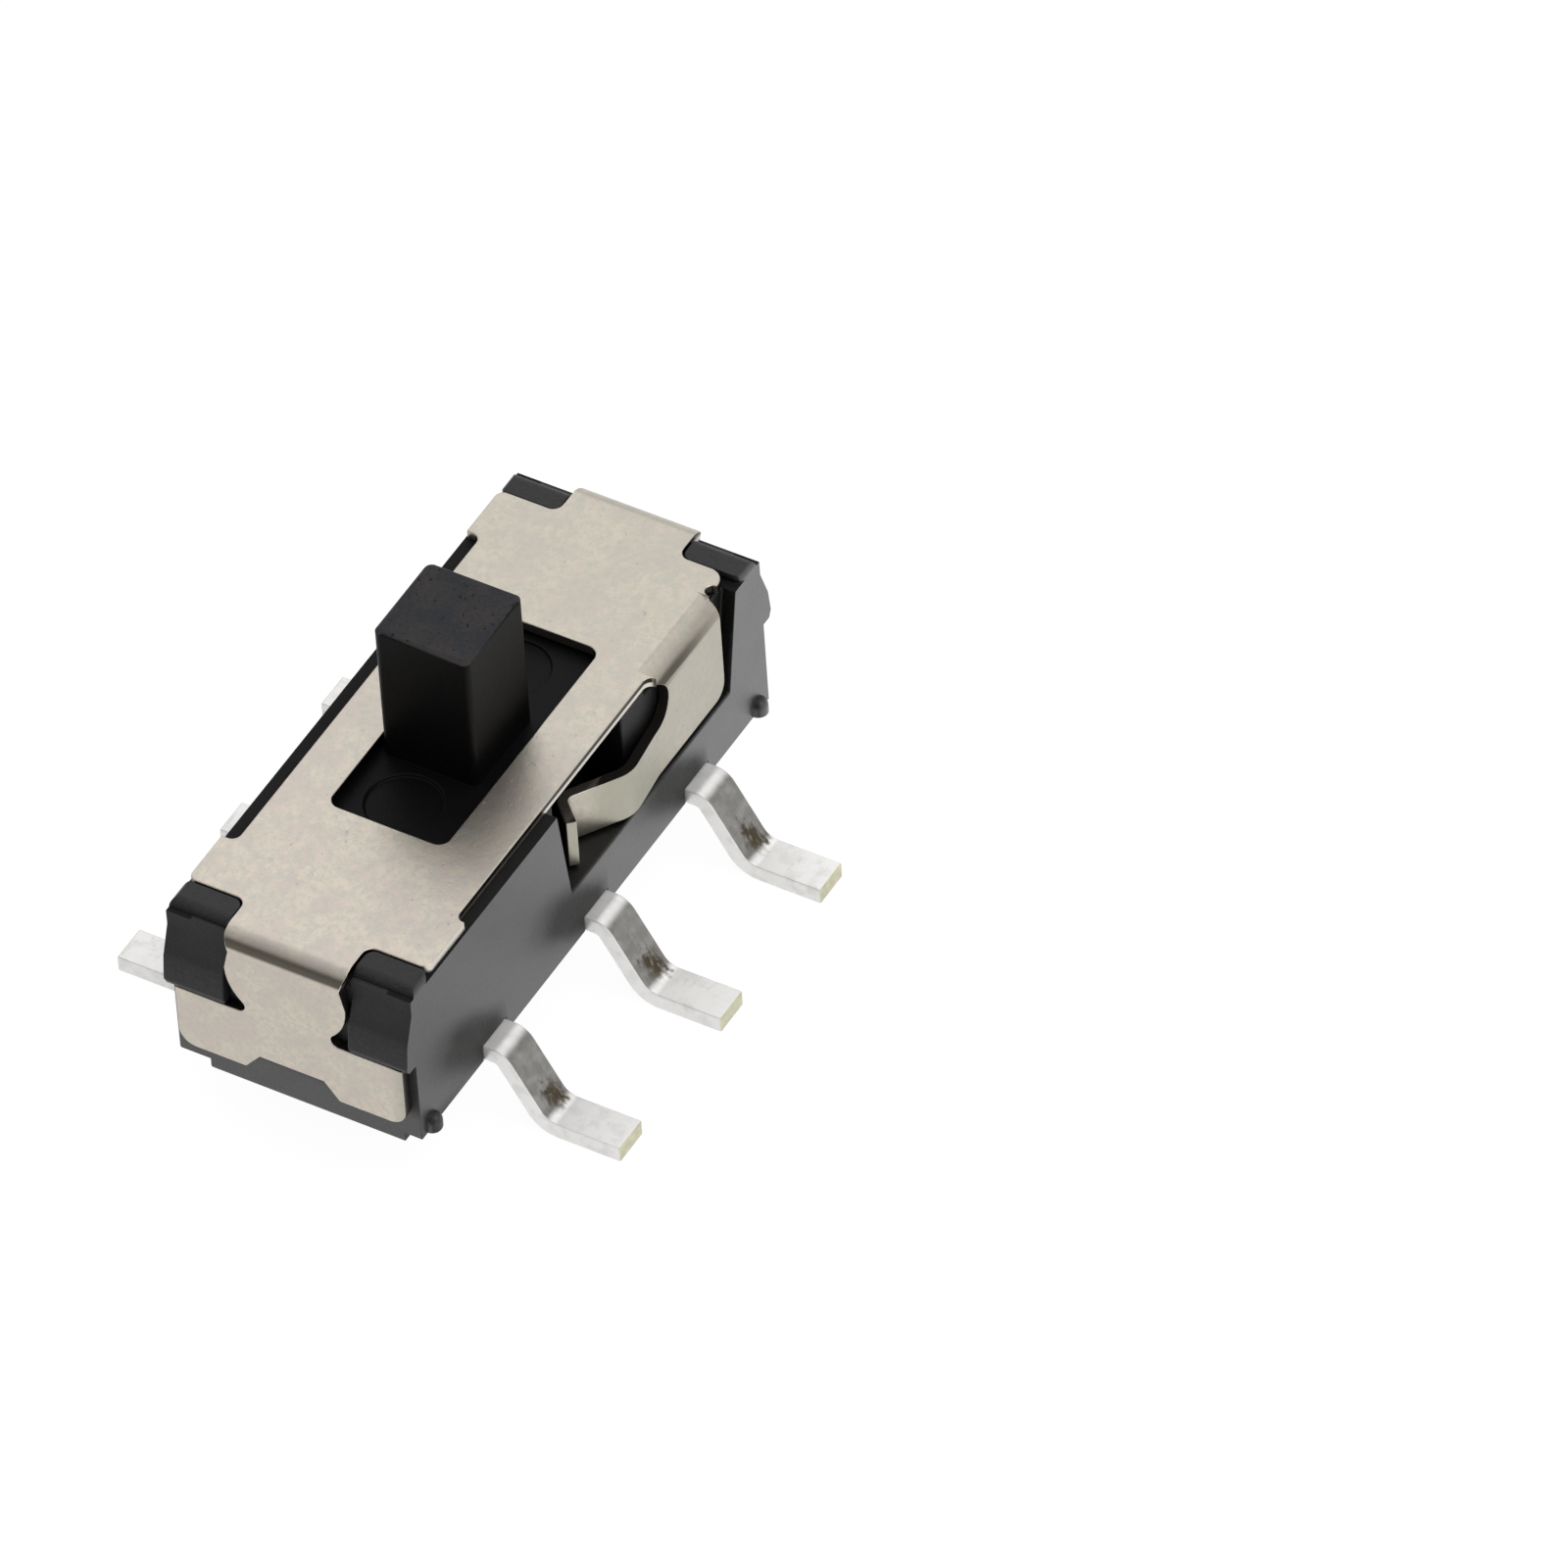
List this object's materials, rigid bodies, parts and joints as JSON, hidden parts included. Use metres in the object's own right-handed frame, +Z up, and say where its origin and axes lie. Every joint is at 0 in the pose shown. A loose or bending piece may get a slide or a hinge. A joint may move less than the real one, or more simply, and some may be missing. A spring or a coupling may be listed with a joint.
{
  "type": "slide switch",
  "caption": "Miniature surface-mount slide switch: black moulded housing, snapped-on metal cover with detent spring, square knob and gull-wing terminals.",
  "frame": {"origin": "middle of the switch on the board face, level with the undersides of the six feet", "axes": "+X along the travel of the knob towards the root of the detent spring, -Y towards the side with the detent spring, +Z up through the knob"},
  "size_m": [0.009, 0.0072, 0.0055],
  "materials": {
    "housing_plastic": "black glass-filled nylon, finely matt",
    "cover_sheet": "satin nickel-plated steel strip",
    "slider_plastic": "black moulding, spark-eroded grain on top",
    "clip_metal": "bare phosphor bronze",
    "terminal_metal": "bright tin plating over brass"
  },
  "bodies": {
    "body": {"housing": "housing_plastic", "cover": "cover_sheet", "terminal_front_1": "terminal_metal", "terminal_front_2": "terminal_metal", "terminal_front_3": "terminal_metal", "terminal_back_1": "terminal_metal", "terminal_back_2": "terminal_metal", "terminal_back_3": "terminal_metal"},
    "slide": {"slider": "slider_plastic", "contact_clip_front": "clip_metal", "contact_clip_back": "clip_metal"}
  },
  "joints": [
    {"name": "knob_slide", "type": "slide", "parent": "body", "child": "slide", "axis": [1, 0, 0], "range_m": [-0.001, 0.001]}
  ]
}
